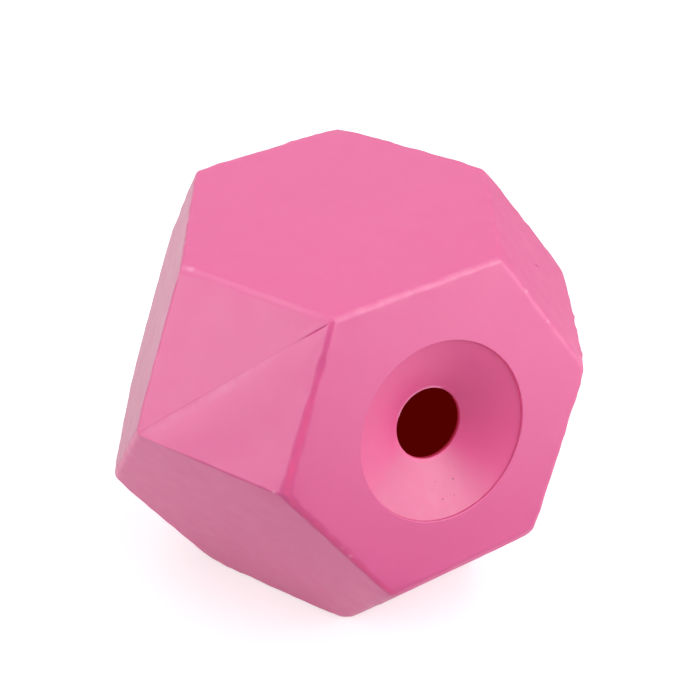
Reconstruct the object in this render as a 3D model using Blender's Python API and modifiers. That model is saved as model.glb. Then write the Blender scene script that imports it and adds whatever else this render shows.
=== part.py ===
"""Horse treat ball: a hollow ball with six square and eight hexagonal faces.

Two moulded shells meet at a seam that runs round the ball. A funnel sits in one hexagon of the front shell,
and treats go in and fall out through its throat. The ball rests on a hexagon, with the origin under its
centre and the funnel facing -Y.
"""

import itertools
import math

import bmesh
import bpy
from mathutils import Matrix, Vector

# Outside of the ball
SQUARE_SPAN = 0.280  # across opposite squares, measured at the seam
END_SPAN = 0.275  # across the two squares that face along the draw of the moulds
HEX_SPAN = 0.2385  # across opposite hexagons, which is the height at rest
DRAFT = math.radians(1.0)  # lean of the side squares away from the seam, which folds them along it
EDGE_SETBACK = 0.004  # how far the rounding of an edge runs back over each face
EDGE_SEGMENTS = 4

# Shell walls
WALL = 0.004
CHAMBER_SETBACK = 0.003  # rounding inside, where two walls meet
CHAMBER_SEGMENTS = 2

# Seam: a flange inside each shell, with a tongue on the front one and a groove in the back one
SEAM_GAP = 0.0003
FLANGE_REACH = 0.004  # how far the flange stands in from the wall, on its inner side
FLANGE_FLOOR = 0.0025  # flange left under the groove
TONGUE_WIDTH = 0.0024
TONGUE_HEIGHT = 0.0024

# Funnel, and the seat that carries it
SEAT_DIAMETER = 0.103  # round opening in the hexagon
THROAT_DIAMETER = 0.041
FUNNEL_DEPTH = 0.0165  # from the hexagon down to the edge of the throat
FUNNEL_BOW = 0.0008  # how far the cone swells above a straight line, halfway down to the throat
FUNNEL_WALL = 0.0025
RIM_STEP = 0.0013  # how far the rim of the funnel lies below the hexagon
LEDGE_WIDTH = 0.005
LEDGE_THICKNESS = 0.003
BOSS_WALL = 0.003  # round the seat, inside the shell
TURNED_SEGMENTS = 72
CONE_ROWS = 6

# Fits
FIT_GAP = 0.0003  # clearance of the tongue and of the funnel
OVERLAP = 0.002  # how far joined or cutting solids run into each other
MERGE_DISTANCE = 0.00001
FOLD_LIMIT = math.radians(30)  # edges that turn less than this stay as they are

# Colours and finish
SHELL_PINK = (0.87, 0.19, 0.41, 1.0)
FUNNEL_PINK = (0.85, 0.18, 0.39, 1.0)
ROUGHNESS = 0.45

# Slopes that follow from the shape: a hexagon leans in by this much for each unit up from the seam
HEX_LEAN = math.sqrt(0.5)
SEAM_TO_HEX = math.sqrt(1.5)  # distance along the seam plane for each unit square to a hexagon

# Directions in the axes of the moulds, whose Z is the draw and whose seam plane is Z = 0
UP = Vector((1, 1, 1)).normalized()
BACK = Vector((-1, -1, 2)).normalized()
ACROSS = BACK.cross(UP)
FUNNEL_OUT = Vector((1, 1, -1)).normalized()

# Sizes that follow from the ones above
groove_depth = TONGUE_HEIGHT + FIT_GAP
flange_thickness = groove_depth + FLANGE_FLOOR
rim_width = WALL * SEAM_TO_HEX + flange_thickness * HEX_LEAN + FLANGE_REACH
tongue_centre = (groove_depth * HEX_LEAN + rim_width) / 2
seat_radius = SEAT_DIAMETER / 2
rim_radius = seat_radius - FIT_GAP
throat_radius = THROAT_DIAMETER / 2
ledge_radius = seat_radius - LEDGE_WIDTH
cone_slope = (FUNNEL_DEPTH - RIM_STEP) / (rim_radius - throat_radius)
cone_wall = FUNNEL_WALL * math.hypot(1, cone_slope)  # wall measured along the funnel's axis
skirt_radius = ledge_radius - FIT_GAP


def cone_depth(radius):
    """Depth of the cone below the hexagon at a radius: it falls gently from the rim and steeper at the throat."""
    share = (radius - throat_radius) / (rim_radius - throat_radius)
    straight = FUNNEL_DEPTH - (FUNNEL_DEPTH - RIM_STEP) * share
    return straight - 4 * FUNNEL_BOW * share * (1 - share)


rim_underside = cone_depth(skirt_radius) + cone_wall
ledge_top = rim_underside + FIT_GAP
ledge_bottom = ledge_top + LEDGE_THICKNESS


def new_collection(name):
    """An empty collection in the scene."""
    collection = bpy.data.collections.new(name)
    bpy.context.scene.collection.children.link(collection)
    return collection


def new_empty(name, location, rotation, parent, collection):
    """An empty that carries pieces modelled in its own axes."""
    empty = bpy.data.objects.new(name, None)
    empty.location = location
    empty.rotation_euler = rotation.to_euler()
    empty.parent = parent
    collection.objects.link(empty)
    return empty


def new_object(name, bm, parent, collection):
    """A mesh object made from bm, which it frees."""
    mesh = bpy.data.meshes.new(name)
    bm.to_mesh(mesh)
    bm.free()
    obj = bpy.data.objects.new(name, mesh)
    obj.parent = parent
    collection.objects.link(obj)
    return obj


def plastic(name, colour):
    """A moulded plastic."""
    material = bpy.data.materials.new(name)
    material.use_nodes = True
    shader = material.node_tree.nodes["Principled BSDF"]
    shader.inputs["Base Color"].default_value = colour
    shader.inputs["Roughness"].default_value = ROUGHNESS
    return material


def boolean(obj, name, operation, other):
    """Joins or cuts obj with another mesh, which is then only a helper."""
    modifier = obj.modifiers.new(name, "BOOLEAN")
    modifier.operation = operation
    modifier.object = other
    other.hide_render = True
    other.display_type = "WIRE"


def rounded(obj, setback, segments):
    """Rounds every edge but the slight fold that the draft makes in the side squares."""
    bevel = obj.modifiers.new("rounded edges", "BEVEL")
    bevel.width = setback
    bevel.segments = segments
    bevel.limit_method = "ANGLE"
    bevel.angle_limit = FOLD_LIMIT


def ball_planes(inset):
    """The faces of the ball, as (normal, distance) pairs, moved in by inset."""
    planes = []
    for signs in itertools.product((-1, 1), repeat=3):
        planes.append((Vector(signs).normalized(), HEX_SPAN / 2 - inset))
    for end, side in itertools.product((-1, 1), repeat=2):
        for square in (Vector((side, 0, 0)), Vector((0, side, 0))):
            normal = square * math.cos(DRAFT) + Vector((0, 0, end)) * math.sin(DRAFT)
            planes.append((normal, SQUARE_SPAN / 2 * math.cos(DRAFT) - inset))
    for end in (-1, 1):
        planes.append((Vector((0, 0, end)), END_SPAN / 2 - inset))
    return planes


def seam_planes(inset, low, high):
    """The outline of the ball at the seam, moved in by inset, as an upright prism from low to high."""
    planes = [(Vector((0, 0, 1)), high), (Vector((0, 0, -1)), -low)]
    square_distance = SQUARE_SPAN / 2
    hex_distance = HEX_SPAN / 2 * SEAM_TO_HEX
    for turn in range(4):
        square = Matrix.Rotation(turn * math.pi / 2, 3, "Z")
        planes.append((square @ Vector((1, 0, 0)), square_distance - inset))
        planes.append((square @ Vector((1, 1, 0)).normalized(), hex_distance - inset))
    return planes


def turned_over(planes):
    """The same solid on the other side of the seam."""
    return [(-normal, distance) for normal, distance in planes]


def cut_solid(name, planes, collection):
    """A block cut down to the space inside all the planes."""
    bm = bmesh.new()
    bmesh.ops.create_cube(bm, size=2 * SQUARE_SPAN)
    for normal, distance in planes:
        cut = bmesh.ops.bisect_plane(
            bm,
            geom=bm.verts[:] + bm.edges[:] + bm.faces[:],
            dist=MERGE_DISTANCE,
            plane_co=normal * distance,
            plane_no=normal,
            clear_outer=True,
        )
        outline = [item for item in cut["geom_cut"] if isinstance(item, bmesh.types.BMEdge)]
        bmesh.ops.edgeloop_fill(bm, edges=outline)
    bmesh.ops.recalc_face_normals(bm, faces=bm.faces[:])
    return new_object(name, bm, ball_axes, collection)


def seam_ring(name, clearance, low, high):
    """A ring that follows the seam at the place of the tongue, wider than it by clearance on both sides."""
    half_width = TONGUE_WIDTH / 2 + clearance
    ring = cut_solid(name, seam_planes(tongue_centre - half_width, low, high), cutters)
    core_planes = seam_planes(tongue_centre + half_width, low - OVERLAP, high + OVERLAP)
    boolean(ring, "core", "DIFFERENCE", cut_solid(name + "_core", core_planes, cutters))
    return ring


def funnel_disc(name, radius, top, bottom):
    """A round disc on the funnel's axis, from top to bottom, both measured down from the hexagon."""
    bm = bmesh.new()
    bmesh.ops.create_cone(
        bm,
        cap_ends=True,
        segments=TURNED_SEGMENTS,
        radius1=radius,
        radius2=radius,
        depth=bottom - top,
        matrix=Matrix.Translation((0, 0, -(top + bottom) / 2)),
    )
    return new_object(name, bm, funnel_axes, cutters)


def half_shell(name, side):
    """One shell with its chamber and seam flange: side is 1 above the seam and -1 below it."""
    shell = cut_solid(name, ball_planes(0), parts)
    rounded(shell, EDGE_SETBACK, EDGE_SEGMENTS)

    other_half = seam_planes(-OVERLAP, -SEAM_GAP / 2, END_SPAN)
    chamber = ball_planes(WALL) + [(Vector((0, 0, 1)), -flange_thickness)]
    opening = seam_planes(rim_width, -flange_thickness - OVERLAP, OVERLAP)
    if side > 0:
        other_half, chamber, opening = map(turned_over, (other_half, chamber, opening))

    chamber_cutter = cut_solid(name + "_chamber", chamber, cutters)
    rounded(chamber_cutter, CHAMBER_SETBACK, CHAMBER_SEGMENTS)
    boolean(shell, "other half", "DIFFERENCE", cut_solid(name + "_other_half", other_half, cutters))
    boolean(shell, "chamber", "DIFFERENCE", chamber_cutter)
    boolean(shell, "seam opening", "DIFFERENCE", cut_solid(name + "_opening", opening, cutters))
    shell.data.materials.append(plastic(name + "_plastic", SHELL_PINK))
    return shell


def make_back_shell():
    """The upper shell, whose flange has the groove."""
    shell = half_shell("back_shell", 1)
    boolean(shell, "groove", "DIFFERENCE", seam_ring("groove", FIT_GAP, -OVERLAP, groove_depth))
    shell.modifiers.new("even shading", "WEIGHTED_NORMAL")
    shell.data.shade_smooth()


def make_front_shell():
    """The lower shell, with the tongue on its flange and the seat of the funnel in its hexagon."""
    shell = half_shell("front_shell", -1)
    boolean(shell, "tongue", "UNION", seam_ring("tongue", 0, -OVERLAP, TONGUE_HEIGHT))
    boss = funnel_disc("boss", seat_radius + BOSS_WALL, WALL / 2, ledge_bottom)
    boolean(shell, "boss", "UNION", boss)
    seat = funnel_disc("seat", seat_radius, -OVERLAP, ledge_top)
    boolean(shell, "seat", "DIFFERENCE", seat)
    ledge_bore = funnel_disc("ledge_bore", ledge_radius, ledge_top - OVERLAP, ledge_bottom + OVERLAP)
    boolean(shell, "ledge bore", "DIFFERENCE", ledge_bore)
    shell.modifiers.new("even shading", "WEIGHTED_NORMAL")
    shell.data.shade_smooth()


def make_treat_funnel():
    """The turned funnel: its rim stands on the ledge and its cone leads down to the throat."""
    profile = [(rim_radius, RIM_STEP), (rim_radius, rim_underside)]
    for row in range(CONE_ROWS + 1):
        radius = skirt_radius + (throat_radius - skirt_radius) * row / CONE_ROWS
        profile.append((radius, cone_depth(radius) + cone_wall))
    for row in range(CONE_ROWS):
        radius = throat_radius + (rim_radius - throat_radius) * row / CONE_ROWS
        profile.append((radius, cone_depth(radius)))
    bm = bmesh.new()
    points = [bm.verts.new((radius, 0, -depth)) for radius, depth in profile]
    for first, second in zip(points, points[1:] + points[:1]):
        bm.edges.new((first, second))
    funnel = new_object("treat_funnel", bm, funnel_axes, parts)
    screw = funnel.modifiers.new("turned", "SCREW")
    screw.steps = TURNED_SEGMENTS
    screw.render_steps = TURNED_SEGMENTS
    screw.use_merge_vertices = True
    screw.merge_threshold = MERGE_DISTANCE
    funnel.modifiers.new("even shading", "WEIGHTED_NORMAL")
    funnel.data.materials.append(plastic("funnel_plastic", FUNNEL_PINK))


for old in list(bpy.data.objects):
    bpy.data.objects.remove(old)

parts = new_collection("horse_treat_ball")
cutters = new_collection("cutters")
stand = Matrix((ACROSS, BACK, UP))
ball_axes = new_empty("ball_axes", (0, 0, HEX_SPAN / 2), stand, None, parts)
funnel_turn = Matrix((ACROSS, FUNNEL_OUT.cross(ACROSS), FUNNEL_OUT)).transposed()
funnel_axes = new_empty("funnel_axes", FUNNEL_OUT * HEX_SPAN / 2, funnel_turn, ball_axes, parts)

make_back_shell()
make_front_shell()
make_treat_funnel()
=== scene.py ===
"""Looks of the horse treat ball: a hollow faceted toy in satin pink plastic, on a white studio floor.

Two moulded half shells meet at a seam that runs round the ball, and a turned funnel sits in one
hexagon. Each is made by a class of its own, in mould axes, whose Z is the draw of the moulds and whose
seam lies at Z = 0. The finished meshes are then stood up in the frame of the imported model. Lengths are
in metres.
"""

from __future__ import annotations

import logging
import math
from dataclasses import dataclass, field
from enum import Enum
from typing import Iterable, NamedTuple

import bmesh
import bpy
import numpy as np
from mathutils import Matrix, Vector, noise

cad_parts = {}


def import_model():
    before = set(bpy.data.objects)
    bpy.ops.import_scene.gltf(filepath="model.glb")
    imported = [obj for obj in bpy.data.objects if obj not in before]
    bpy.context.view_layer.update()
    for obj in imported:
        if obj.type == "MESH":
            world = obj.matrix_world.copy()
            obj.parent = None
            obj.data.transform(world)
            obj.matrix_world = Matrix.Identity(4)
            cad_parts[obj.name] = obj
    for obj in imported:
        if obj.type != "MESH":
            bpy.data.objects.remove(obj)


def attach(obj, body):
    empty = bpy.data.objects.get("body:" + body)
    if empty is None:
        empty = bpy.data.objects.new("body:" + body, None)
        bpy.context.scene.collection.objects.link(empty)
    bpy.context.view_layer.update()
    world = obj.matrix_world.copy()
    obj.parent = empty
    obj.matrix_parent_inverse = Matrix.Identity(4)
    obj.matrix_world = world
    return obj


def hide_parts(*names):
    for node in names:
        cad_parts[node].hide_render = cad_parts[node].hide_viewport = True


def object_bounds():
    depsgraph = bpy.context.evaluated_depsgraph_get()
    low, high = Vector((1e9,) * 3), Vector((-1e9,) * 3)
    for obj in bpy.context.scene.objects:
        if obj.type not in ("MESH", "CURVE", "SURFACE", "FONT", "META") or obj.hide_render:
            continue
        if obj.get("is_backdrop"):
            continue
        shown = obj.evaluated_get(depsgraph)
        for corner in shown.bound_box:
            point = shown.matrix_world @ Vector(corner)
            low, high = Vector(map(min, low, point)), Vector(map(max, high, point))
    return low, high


LOG = logging.getLogger("horse_treat_ball")
BODY = "root"
NOISE_SEED = 3  # of the waves along the edges, which are then the same in each run
MM = 0.001
MERGE_DISTANCE = 0.00001
FOLD_LIMIT = math.radians(30)  # edges that turn less are folds within a face, and stay as they are
SHARP_LIMIT = math.radians(20)  # edges that turn less are shaded smooth
BLACK = (0.0, 0.0, 0.0, 1.0)
WHITE = (1.0, 1.0, 1.0, 1.0)

# Point attributes that the meshes hand to their finish
BAND = "edge_band"  # 1 on an edge rubbed pale and given a painted highlight, -1 on one given painted red light, 0 on a panel
INSIDE = "inside"  # 1 on the walls of the treat chamber, which get a painted dark red shade and a faint painted glow
GLOW = "glow"  # 1 at cut edges that get a painted glow, for light that soaks through
SEAM_HIGHLIGHT = "painted_seam_highlight"  # 1 on the strip beside the seam that gets a painted highlight
NUB_GLINT = "nub"  # 1 on a nub of flash that was left standing, which gets a painted glint
SCUFF_AND_SHEEN_ZONE = "scuff_and_sheen_zone"  # share of the scuffs, dustiness and painted sheen that show
SPECK_ZONE = "speck_zone"  # share of the specks that show

BMesh = bmesh.types.BMesh
BMEdge = bmesh.types.BMEdge
BMFace = bmesh.types.BMFace
Material = bpy.types.Material
Mesh = bpy.types.Mesh
Node = bpy.types.Node
NodeTree = bpy.types.NodeTree
Object = bpy.types.Object
Socket = bpy.types.NodeSocket
Colour = tuple[float, float, float, float]
Outline = list[tuple[float, float]]  # points as (radius, depth)


class Half(Enum):
    """The side of the seam that a shell lies on; the value is the sign of Z there."""

    BACK = 1
    FRONT = -1


class Facet(Enum):
    """The faces of the ball, each by the way it looks in mould axes."""

    TOP = (1, 1, 1)
    FUNNEL = (1, 1, -1)
    UPPER_LEFT = (1, -1, 1)
    LOWER_LEFT = (1, -1, -1)
    UPPER_RIGHT = (-1, 1, 1)
    LOWER_RIGHT = (-1, 1, -1)
    BACK = (-1, -1, 1)
    BOTTOM = (-1, -1, -1)
    LEFT = (1, 0, 0)
    RIGHT = (0, 1, 0)
    BACK_LEFT = (0, -1, 0)
    BACK_RIGHT = (-1, 0, 0)
    UPPER_END = (0, 0, 1)
    LOWER_END = (0, 0, -1)

    @property
    def normal(self) -> Vector:
        """The unit vector out of the face."""
        return Vector(self.value).normalized()


def facet_of(normal: Vector) -> Facet:
    """The facet that looks nearest to the given way."""
    return max(Facet, key=lambda facet: facet.normal.dot(normal))


@dataclass(frozen=True)
class EdgeWear:
    """Shares of the full rounding of an edge and of its pale wear with a painted highlight; below 0 the
    edge gets painted red light instead.
    """

    at_seam: float
    away: float
    rub_and_light: float


PLAIN_WEAR = EdgeWear(0.9, 0.9, 0.3)
EDGE_WEAR = {
    (Facet.TOP, Facet.FUNNEL): EdgeWear(0.6, 0.6, 1.0),
    (Facet.TOP, Facet.LEFT): EdgeWear(0.9, 0.9, 0.35),
    (Facet.TOP, Facet.RIGHT): EdgeWear(0.5, 0.5, 0.3),
    (Facet.TOP, Facet.UPPER_LEFT): EdgeWear(0.45, 0.45, 0.4),
    (Facet.LEFT, Facet.FUNNEL): EdgeWear(0.4, 1.0, -0.9),
    (Facet.RIGHT, Facet.FUNNEL): EdgeWear(0.6, 0.6, 0.5),
    (Facet.LOWER_LEFT, Facet.FUNNEL): EdgeWear(0.85, 0.85, -0.9),
    (Facet.LEFT, Facet.LOWER_LEFT): EdgeWear(0.3, 0.3, 0.3),
    (Facet.LEFT, Facet.UPPER_LEFT): EdgeWear(0.35, 0.35, 0.4),
    (Facet.LOWER_LEFT, Facet.UPPER_LEFT): EdgeWear(0.9, 0.9, 0.8),
}
SCUFF_AND_SHEEN_SHARES = {Facet.UPPER_LEFT: 1.0, Facet.LOWER_LEFT: 0.05}  # share of the scuffs, dustiness and painted sheen on a face


def edge_wear(edge: BMEdge) -> EdgeWear:
    """The wear of the edge between two faces of the ball."""
    first, second = (facet_of(face.normal) for face in edge.link_faces)
    return EDGE_WEAR.get((first, second)) or EDGE_WEAR.get((second, first), PLAIN_WEAR)


class Plane(NamedTuple):
    """A plane with the solid on its inner side."""

    normal: Vector
    distance: float


def add_object(name: str, data: bpy.types.ID) -> Object:
    """Puts a mesh, a lamp or a camera in the scene.

    Args:
        name: Name of the object.
        data: The mesh, lamp or camera.

    Returns:
        The new object.
    """
    obj = bpy.data.objects.new(name, data)
    bpy.context.scene.collection.objects.link(obj)
    return obj


def mesh_of(name: str, bm: BMesh) -> Mesh:
    """The mesh of a solid, which is freed.

    Args:
        name: Name of the mesh.
        bm: The solid.

    Returns:
        The new mesh.
    """
    mesh = bpy.data.meshes.new(name)
    bm.to_mesh(mesh)
    bm.free()
    return mesh


def points_of(mesh: Mesh) -> np.ndarray:
    """The points of a mesh, in rows."""
    return np.array([vert.co for vert in mesh.vertices])


def set_attribute(mesh: Mesh, name: str, values: np.ndarray) -> None:
    """Stores one number for each point of the mesh."""
    attribute = mesh.attributes.new(name, "FLOAT", "POINT")
    attribute.data.foreach_set("value", values.astype(np.float32))


def cut_block(planes: Iterable[Plane], size: float) -> BMesh:
    """Cuts a block down to the space inside all the planes.

    Args:
        planes: The planes that bound the solid.
        size: Edge of the block that is cut.

    Returns:
        The closed solid.
    """
    bm = bmesh.new()
    bmesh.ops.create_cube(bm, size=size)
    for plane in planes:
        bisect_and_close(bm, plane)
    bmesh.ops.recalc_face_normals(bm, faces=bm.faces[:])
    return bm


def bisect_and_close(bm: BMesh, plane: Plane) -> None:
    """Takes off what lies outside the plane and closes the cut with one flat face.

    Args:
        bm: The solid that is cut.
        plane: The plane of the cut.
    """
    cut = bmesh.ops.bisect_plane(
        bm,
        geom=bm.verts[:] + bm.edges[:] + bm.faces[:],
        dist=MERGE_DISTANCE,
        plane_co=plane.normal * plane.distance,
        plane_no=plane.normal,
        clear_outer=True,
    )
    outline = [item for item in cut["geom_cut"] if isinstance(item, BMEdge)]
    bmesh.ops.edgeloop_fill(bm, edges=outline)


def turned(profile: Iterable[tuple[float, float]], segments: int, place: Matrix) -> BMesh:
    """Turns a closed outline about the Z axis.

    Args:
        profile: Points of the outline as (radius, depth), with the depth measured down from Z = 0.
        segments: Number of facets round the axis.
        place: Where the turned solid goes.

    Returns:
        The closed solid.
    """
    bm = bmesh.new()
    points = [bm.verts.new((radius, 0, -depth)) for radius, depth in profile]
    outline = [bm.edges.new(pair) for pair in zip(points, points[1:] + points[:1])]
    bmesh.ops.spin(
        bm,
        geom=points + outline,
        cent=(0, 0, 0),
        axis=(0, 0, 1),
        angle=2 * math.pi,
        steps=segments,
        use_merge=True,
    )
    bmesh.ops.remove_doubles(bm, verts=bm.verts[:], dist=MERGE_DISTANCE)
    bmesh.ops.recalc_face_normals(bm, faces=bm.faces[:])
    bm.transform(place)
    return bm


def arc(centre: tuple[float, float], radius: float, start: float, end: float, steps: int) -> Outline:
    """Points of an outline along an arc.

    Args:
        centre: Centre of the arc as (radius, depth).
        radius: Radius of the arc.
        start: First angle in degrees, from outward towards down.
        end: Last angle in degrees.
        steps: Number of pieces the arc is split into.

    Returns:
        The points as (radius, depth).
    """
    points = []
    for step in range(steps + 1):
        angle = math.radians(start + (end - start) * step / steps)
        points.append((centre[0] + radius * math.cos(angle), centre[1] + radius * math.sin(angle)))
    return points


def smooth_step(low: float, high: float, value: np.ndarray) -> np.ndarray:
    """0 below low, 1 above high, and a smooth rise between them."""
    share = np.clip((value - low) / (high - low), 0, 1)
    return share * share * (3 - 2 * share)


def sector(points: np.ndarray, middle: float, spread: float) -> np.ndarray:
    """1 in the middle of a sector round the Z axis and 0 outside it, with angles in degrees."""
    turn = np.degrees(np.arctan2(points[:, 1], points[:, 0])) - middle
    return 1 - smooth_step(0.5 * spread, spread, np.abs((turn + 180) % 360 - 180))


def wander(points: np.ndarray, wavelength: float) -> np.ndarray:
    """Smooth random vectors, about one unit long, that change over the given wavelength."""
    return np.array([noise.noise_vector(Vector(point) / wavelength) for point in points])


def inner_circle(panel: BMFace) -> tuple[Vector, float]:
    """The circle inside a panel that lies as near as it can to every side.

    Args:
        panel: The panel.

    Returns:
        The circle's centre and radius.
    """
    rows, distances = [[*panel.normal, 0]], [panel.normal.dot(panel.verts[0].co)]
    for loop in panel.loops:
        side = loop.link_loop_next.vert.co - loop.vert.co
        inward = panel.normal.cross(side.normalized())
        weight = math.sqrt(side.length)
        rows.append([*(inward * weight), -weight])
        distances.append(inward.dot(loop.vert.co) * weight)
    *centre, radius = np.linalg.lstsq(np.array(rows), np.array(distances), rcond=None)[0]
    return Vector(centre), radius


class Blank:
    """A mesh under work, which others are cut from or joined to by exact Booleans."""

    def __init__(self, name: str, bm: BMesh) -> None:
        """Starts with the solid in bm."""
        self.helpers: list[Object] = []
        self.body = self._placed(name, bm)

    def _placed(self, name: str, bm: BMesh) -> Object:
        """Puts the solid in the scene for as long as the work lasts, and frees bm."""
        self.helpers.append(add_object(name, mesh_of(name, bm)))
        return self.helpers[-1]

    def _combine(self, name: str, operation: str, bm: BMesh) -> None:
        """Adds one Boolean step.

        Args:
            name: Name of the step.
            operation: Kind of Boolean.
            bm: The solid that is combined with the body.
        """
        modifier = self.body.modifiers.new(name, "BOOLEAN")
        modifier.operation = operation
        modifier.object = self._placed(name, bm)

    def cut(self, name: str, bm: BMesh) -> None:
        """Takes the solid in bm away."""
        self._combine(name, "DIFFERENCE", bm)

    def join(self, name: str, bm: BMesh) -> None:
        """Adds the solid in bm."""
        self._combine(name, "UNION", bm)

    def finished(self, name: str) -> Mesh:
        """Carries out the steps, clears the helpers away and gives the new mesh.

        Args:
            name: Name of the mesh.

        Returns:
            The new mesh.
        """
        depsgraph = bpy.context.evaluated_depsgraph_get()
        mesh = bpy.data.meshes.new_from_object(self.body.evaluated_get(depsgraph))
        mesh.name = name
        for helper in self.helpers:
            old = helper.data
            bpy.data.objects.remove(helper)
            bpy.data.meshes.remove(old)
        return mesh

    def solid(self) -> BMesh:
        """Carries out the steps and gives the result for further work.

        Returns:
            The finished solid.
        """
        mesh = self.finished("solid")
        bm = bmesh.new()
        bm.from_mesh(mesh)
        bpy.data.meshes.remove(mesh)
        return bm


@dataclass(frozen=True)
class BallShape:
    """Sizes that all pieces share."""

    hex_span: float  # across opposite hexagons, which is the height at rest
    square_span: float = 0.280  # across opposite squares, measured at the seam
    end_span: float = 0.275  # across the two squares that face along the draw
    draft: float = math.radians(1.0)  # lean of the side squares away from the seam
    edge_setback: float = 0.004  # how far the rounding of an edge runs back over each face
    edge_segments: int = 9
    wear_swing: float = 0.4
    wear_length: float = 0.007  # along an edge, over which its rounding changes
    facet_length: float = 0.0025  # along the edges
    corner_margin: float = 0.0065  # no facet ends this near a corner
    wall: float = 0.004
    chamber_setback: float = 0.003
    chamber_segments: int = 4
    overlap: float = 0.002  # how far joined or cutting solids run into each other
    hex_lean: float = math.sqrt(0.5)  # a hexagon leans in by this much for each unit up from the seam
    seam_to_hex: float = math.sqrt(1.5)  # distance along the seam plane for each unit square to a hexagon

    @property
    def up(self) -> Vector:
        """The way up, in mould axes."""
        return Facet.TOP.normal

    @property
    def stand(self) -> Matrix:
        """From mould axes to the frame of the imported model."""
        back = Vector((-1, -1, 2)).normalized()
        rows = (back.cross(self.up), back, self.up)
        return Matrix.Translation((0, 0, self.hex_span / 2)) @ Matrix(rows).to_4x4()

    @property
    def funnel_place(self) -> Matrix:
        """From the funnel's own axes, whose Z looks out of its hexagon, to mould axes."""
        out = Facet.FUNNEL.normal
        across = Vector((-1, -1, 2)).cross(self.up).normalized()
        turn = Matrix((across, out.cross(across), out)).transposed().to_4x4()
        return Matrix.Translation(out * self.hex_span / 2) @ turn

    def planes(self, inset: float = 0.0) -> list[Plane]:
        """The faces of the ball, moved in by inset.

        Args:
            inset: How far the faces move in.

        Returns:
            The planes, with two for each drafted square.
        """
        planes = []
        for facet in Facet:
            if 0 not in facet.value:
                planes.append(Plane(facet.normal, self.hex_span / 2 - inset))
            elif facet.normal.z:
                planes.append(Plane(facet.normal, self.end_span / 2 - inset))
            else:
                for end in (-1, 1):
                    lean = facet.normal * math.cos(self.draft) + Vector((0, 0, end)) * math.sin(self.draft)
                    planes.append(Plane(lean, self.square_span / 2 * math.cos(self.draft) - inset))
        return planes

    def seam_outline(self, inset: float, low: float, high: float) -> list[Plane]:
        """The outline of the ball at the seam, moved in by inset, as an upright prism from low to high.

        Args:
            inset: How far the outline moves in.
            low: Level of its lower end.
            high: Level of its upper end.

        Returns:
            The planes of the prism.
        """
        planes = [Plane(Vector((0, 0, 1)), high), Plane(Vector((0, 0, -1)), -low)]
        for quarter in range(4):
            turn = Matrix.Rotation(quarter * math.pi / 2, 3, "Z")
            planes.append(Plane(turn @ Vector((1, 0, 0)), self.square_span / 2 - inset))
            hexagon = turn @ Vector((1, 1, 0)).normalized()
            planes.append(Plane(hexagon, self.hex_span / 2 * self.seam_to_hex - inset))
        return planes

    def block(self, planes: Iterable[Plane]) -> BMesh:
        """The solid inside the planes, cut from a block larger than the ball."""
        return cut_block(planes, 2 * self.square_span)

    def depth(self, points: np.ndarray) -> np.ndarray:
        """How far each point lies below the nearest face.

        Args:
            points: Points in mould axes, in rows.

        Returns:
            The depths, which are below 0 outside the ball.
        """
        planes = self.planes()
        normals = np.array([plane.normal for plane in planes])
        distances = np.array([plane.distance for plane in planes])
        return (distances - points @ normals.T).min(axis=1)

    def edges(self, least_turn: float = FOLD_LIMIT) -> tuple[np.ndarray, np.ndarray, np.ndarray]:
        """The edges that turn at least this much, before they are rounded.

        Args:
            least_turn: The least angle between the faces of an edge.

        Returns:
            The start points, the end points and each edge's share of pale wear and painted light.
        """
        bm = self.block(self.planes())
        sharp = [edge for edge in bm.edges if edge.calc_face_angle() > least_turn]
        ends = np.array([[vert.co[:] for vert in edge.verts] for edge in sharp])
        rub_and_light = np.array([edge_wear(edge).rub_and_light for edge in sharp])
        bm.free()
        return ends[:, 0], ends[:, 1], rub_and_light

    def wear(self, edge: BMEdge) -> float:
        """How far an edge is rounded, as a share of the full setback, with the unevenness of handwork.

        Args:
            edge: An edge, or a short stretch of one.

        Returns:
            The share.
        """
        worn = edge_wear(edge)
        middle = (edge.verts[0].co + edge.verts[1].co) / 2
        far_corner = self.end_span / 4  # level of the far corner of a side square
        share = min(abs(middle.z) / far_corner, 1)
        swing = 1 + self.wear_swing * noise.noise(middle / self.wear_length)
        return (worn.at_seam + (worn.away - worn.at_seam) * share) * swing

    def nearest_edge(self, points: np.ndarray) -> tuple[np.ndarray, np.ndarray]:
        """The distance from each point to the nearest edge, and that edge's share of pale wear and painted
        light.

        Args:
            points: Points in mould axes, in rows.

        Returns:
            The distances and those shares.
        """
        starts, ends, rub_and_light = self.edges()
        along = ends - starts
        offset = points[:, None, :] - starts[None]
        share = (offset * along).sum(axis=2) / (along * along).sum(axis=1)
        nearest = starts + np.clip(share, 0, 1)[..., None] * along
        distance = np.linalg.norm(points[:, None, :] - nearest, axis=2)
        return distance.min(axis=1), rub_and_light[distance.argmin(axis=1)]

    def corners(self) -> list[tuple[np.ndarray, float]]:
        """The corners before they are rounded, each with the mean wear of its edges.

        Returns:
            Pairs of a corner's point and its wear.
        """
        bm = self.block(self.planes())
        found = []
        for vert in bm.verts:
            wear = [self.wear(edge) for edge in vert.link_edges if edge.calc_face_angle() > FOLD_LIMIT]
            found.append((np.array(vert.co), sum(wear) / len(wear)))
        bm.free()
        return found

    def edge_point(self, first: Facet, second: Facet, along: float) -> np.ndarray:
        """A point on the edge between two faces, or on the seam across one square.

        Args:
            first: One face.
            second: The face across the edge, or the same square.
            along: Share of the edge, in the direction of first's normal crossed with second's.

        Returns:
            The point on the sharp edge.
        """
        starts, ends, _ = self.edges(least_turn=self.draft)
        middle = np.array(first.normal + second.normal)
        nearest = ((starts + ends) @ middle).argmax()
        start, end = starts[nearest], ends[nearest]
        if (end - start) @ np.array(first.normal.cross(second.normal)) < 0:
            start, end = end, start
        return start + along * (end - start)


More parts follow.
